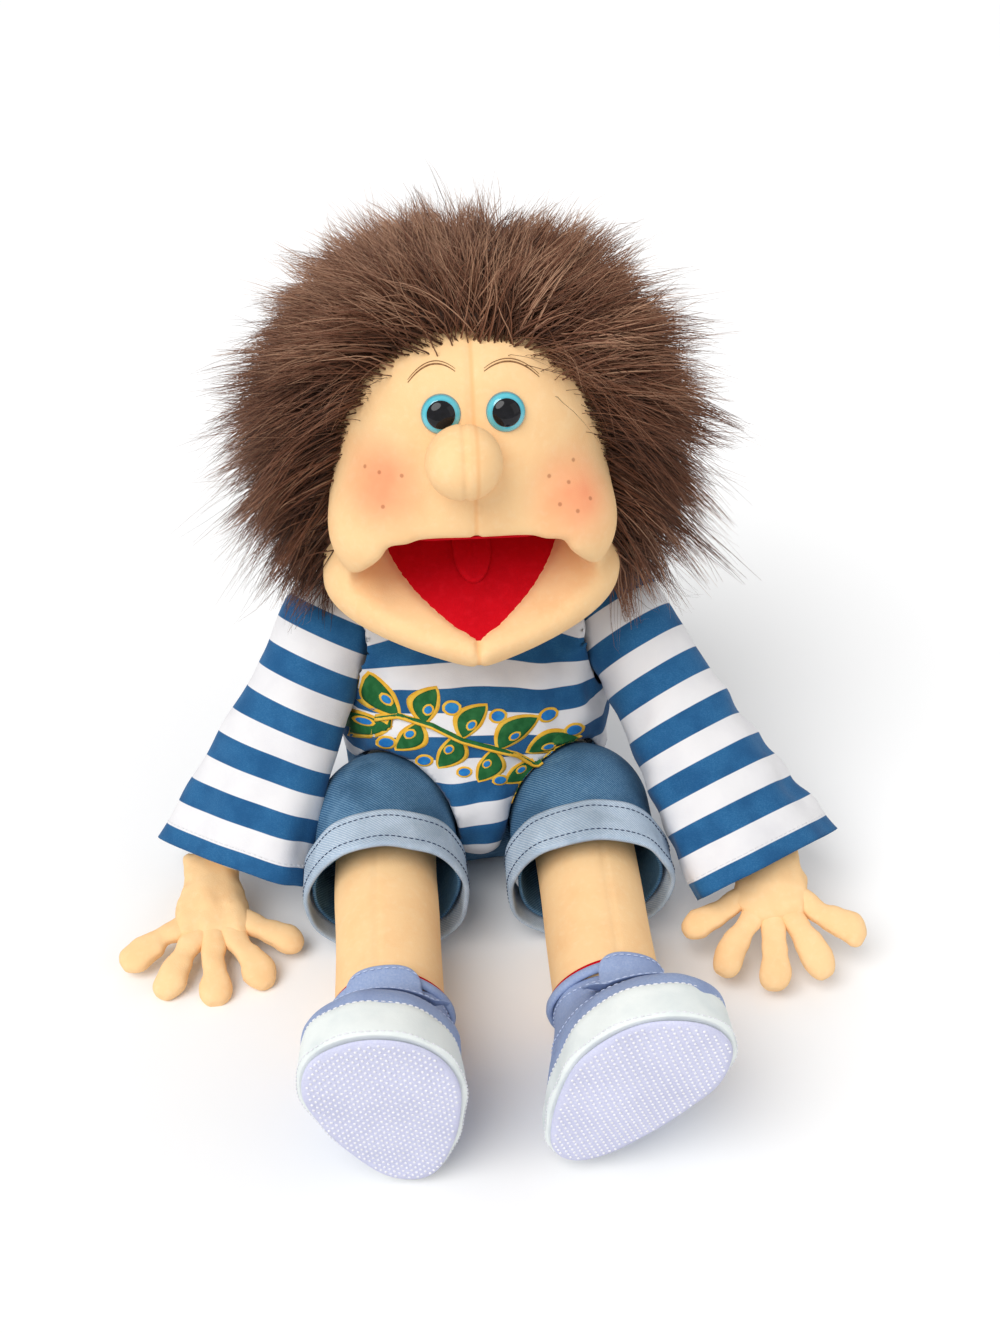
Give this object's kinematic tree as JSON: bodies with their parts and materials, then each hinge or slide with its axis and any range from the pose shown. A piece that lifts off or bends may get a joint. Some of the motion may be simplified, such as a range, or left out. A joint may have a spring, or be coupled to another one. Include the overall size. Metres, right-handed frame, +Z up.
{
  "type": "moving mouth hand puppet",
  "caption": "Seated soft hand puppet of a child with a working mouth, long-pile hair, glove hands, striped shirt, rolled shorts and soft shoes.",
  "frame": {"origin": "on the floor under the seat, where the body bag rests", "axes": "+Z up, the puppet looks along -Y, +X is the puppet's own left"},
  "size_m": [0.4272, 0.4207, 0.3901],
  "materials": {
    "skin_velour": "short soft pile",
    "faux_fur": "long pile",
    "mouth_velour": "short soft pile",
    "striped_jersey": "plain knit, printed front",
    "denim": "washed twill",
    "denim_reverse": "light twill",
    "shoe_cloth": "twill with stitching",
    "shoe_edge": "matt",
    "sole_cloth": "with non-slip dots",
    "stuffing_bag": "plain",
    "eye_blue": "polished",
    "eye_black": "polished",
    "washer_plastic": "moulded",
    "mouth_board": "stiff sheet",
    "elastic": "woven band"
  },
  "bodies": {
    "torso": {"torso_bag": "stuffing_bag", "shorts_seat": "denim", "shorts_waistband": "denim", "shirt_body": "striped_jersey", "shirt_neckband": "striped_jersey"},
    "neck": {"neck_tube": "skin_velour"},
    "head": {"head_shell": "skin_velour", "head_base": "skin_velour", "nose_ball": "skin_velour", "eye_left": "eye_blue", "eye_right": "eye_blue", "eye_pupil_left": "eye_black", "eye_pupil_right": "eye_black", "eye_washer_left": "washer_plastic", "eye_washer_right": "washer_plastic", "wig": "faux_fur", "upper_mouth_lining": "mouth_velour", "upper_mouth_board": "mouth_board", "finger_strap": "elastic", "hand_entry_cuff": "stuffing_bag"},
    "jaw": {"jaw_shell": "skin_velour", "lower_mouth_lining": "mouth_velour", "lower_mouth_board": "mouth_board", "tongue": "mouth_velour", "thumb_strap": "elastic"},
    "shoulder_left": {"shoulder_ball_left": "stuffing_bag"},
    "arm_left": {"arm_left": "skin_velour", "sleeve_left": "striped_jersey"},
    "hand_left": {"palm_left": "skin_velour"},
    "thumb_left": {"thumb_left": "skin_velour"},
    "index_left": {"index_left": "skin_velour"},
    "middle_left": {"middle_left": "skin_velour"},
    "ring_left": {"ring_left": "skin_velour"},
    "little_left": {"little_left": "skin_velour"},
    "leg_left": {"leg_left": "skin_velour", "shorts_leg_left": "denim", "shorts_cuff_left": "denim_reverse", "shoe_upper_left": "shoe_cloth", "shoe_bumper_left": "shoe_edge", "shoe_sole_left": "sole_cloth"},
    "strap_left": {"shoe_strap_left": "shoe_cloth"},
    "shoulder_right": {"shoulder_ball_right": "stuffing_bag"},
    "arm_right": {"arm_right": "skin_velour", "sleeve_right": "striped_jersey"},
    "hand_right": {"palm_right": "skin_velour"},
    "thumb_right": {"thumb_right": "skin_velour"},
    "index_right": {"index_right": "skin_velour"},
    "middle_right": {"middle_right": "skin_velour"},
    "ring_right": {"ring_right": "skin_velour"},
    "little_right": {"little_right": "skin_velour"},
    "leg_right": {"leg_right": "skin_velour", "shorts_leg_right": "denim", "shorts_cuff_right": "denim_reverse", "shoe_upper_right": "shoe_cloth", "shoe_bumper_right": "shoe_edge", "shoe_sole_right": "sole_cloth"},
    "strap_right": {"shoe_strap_right": "shoe_cloth"}
  },
  "joints": [
    {"name": "neck_turn", "type": "hinge", "parent": "torso", "child": "neck", "pos_m": [-0.0015, 0.02, 0.169], "axis": [0, 0, 1], "range_deg": [-25, 25]},
    {"name": "neck_nod", "type": "hinge", "parent": "neck", "child": "head", "pos_m": [-0.003, 0.02, 0.222], "axis": [1, 0, 0], "range_deg": [-18, 5]},
    {"name": "jaw_open", "type": "hinge", "parent": "head", "child": "jaw", "pos_m": [-0.003, -0.015, 0.238], "axis": [1, 0, 0], "range_deg": [-35, 12]},
    {"name": "shoulder_swing_left", "type": "hinge", "parent": "torso", "child": "shoulder_left", "pos_m": [0.086, 0.005, 0.15], "axis": [-1, 0, 0], "range_deg": [0, 50]},
    {"name": "shoulder_raise_left", "type": "hinge", "parent": "shoulder_left", "child": "arm_left", "pos_m": [0.086, 0.005, 0.15], "axis": [0, -1, 0], "range_deg": [0, 50]},
    {"name": "wrist_left", "type": "hinge", "parent": "arm_left", "child": "hand_left", "pos_m": [0.16436, -0.10337, 0.04997], "axis": [-0.9939, 0.1104, 0], "range_deg": [-18, 18]},
    {"name": "thumb_curl_left", "type": "hinge", "parent": "hand_left", "child": "thumb_left", "pos_m": [0.1388, -0.12949, 0.03599], "axis": [0.4109, -0.8294, -0.3785], "range_deg": [-20, 60]},
    {"name": "index_curl_left", "type": "hinge", "parent": "hand_left", "child": "index_left", "pos_m": [0.14731, -0.13904, 0.03183], "axis": [0.8111, -0.5426, -0.2185], "range_deg": [-20, 60]},
    {"name": "middle_curl_left", "type": "hinge", "parent": "hand_left", "child": "middle_left", "pos_m": [0.15989, -0.14359, 0.0303], "axis": [0.9939, -0.1104, 0], "range_deg": [-20, 60]},
    {"name": "ring_curl_left", "type": "hinge", "parent": "hand_left", "child": "ring_left", "pos_m": [0.17315, -0.14192, 0.03183], "axis": [0.9104, 0.3513, 0.2185], "range_deg": [-20, 60]},
    {"name": "little_curl_left", "type": "hinge", "parent": "hand_left", "child": "little_left", "pos_m": [0.18356, -0.13446, 0.03599], "axis": [0.583, 0.719, 0.3785], "range_deg": [-20, 60]},
    {"name": "hip_left", "type": "hinge", "parent": "torso", "child": "leg_left", "pos_m": [0.058, -0.062, 0.0525], "axis": [-1, 0, 0], "range_deg": [0, 25]},
    {"name": "strap_open_left", "type": "hinge", "parent": "leg_left", "child": "strap_left", "pos_m": [0.05608, -0.09286, 0.1202], "axis": [0.2206, -0.8395, 0.4966], "range_deg": [0, 70]},
    {"name": "shoulder_swing_right", "type": "hinge", "parent": "torso", "child": "shoulder_right", "pos_m": [-0.086, 0.005, 0.15], "axis": [-1, 0, 0], "range_deg": [0, 50]},
    {"name": "shoulder_raise_right", "type": "hinge", "parent": "shoulder_right", "child": "arm_right", "pos_m": [-0.086, 0.005, 0.15], "axis": [0, 1, 0], "range_deg": [0, 50]},
    {"name": "wrist_right", "type": "hinge", "parent": "arm_right", "child": "hand_right", "pos_m": [-0.16168, -0.07405, 0.02386], "axis": [-0.9981, -0.0617, 0], "range_deg": [-18, 18]},
    {"name": "thumb_curl_right", "type": "hinge", "parent": "hand_right", "child": "thumb_right", "pos_m": [-0.13728, -0.10381, 0.01679], "axis": [0.4469, 0.8739, 0.1912], "range_deg": [-20, 60]},
    {"name": "index_curl_right", "type": "hinge", "parent": "hand_right", "child": "index_right", "pos_m": [-0.14621, -0.11366, 0.01469], "axis": [0.8343, 0.5402, 0.1104], "range_deg": [-20, 60]},
    {"name": "middle_curl_right", "type": "hinge", "parent": "hand_right", "child": "middle_right", "pos_m": [-0.15898, -0.11786, 0.01392], "axis": [0.9981, 0.0617, 0], "range_deg": [-20, 60]},
    {"name": "ring_curl_right", "type": "hinge", "parent": "hand_right", "child": "ring_right", "pos_m": [-0.17216, -0.11527, 0.01469], "axis": [0.8945, -0.4333, -0.1104], "range_deg": [-20, 60]},
    {"name": "little_curl_right", "type": "hinge", "parent": "hand_right", "child": "little_right", "pos_m": [-0.18223, -0.10659, 0.01679], "axis": [0.5512, -0.8122, -0.1912], "range_deg": [-20, 60]},
    {"name": "hip_right", "type": "hinge", "parent": "torso", "child": "leg_right", "pos_m": [-0.058, -0.062, 0.0525], "axis": [-1, 0, 0], "range_deg": [0, 25]},
    {"name": "strap_open_right", "type": "hinge", "parent": "leg_right", "child": "strap_right", "pos_m": [-0.03677, -0.09255, 0.11696], "axis": [0.0537, 0.8432, -0.535], "range_deg": [0, 70]}
  ]
}
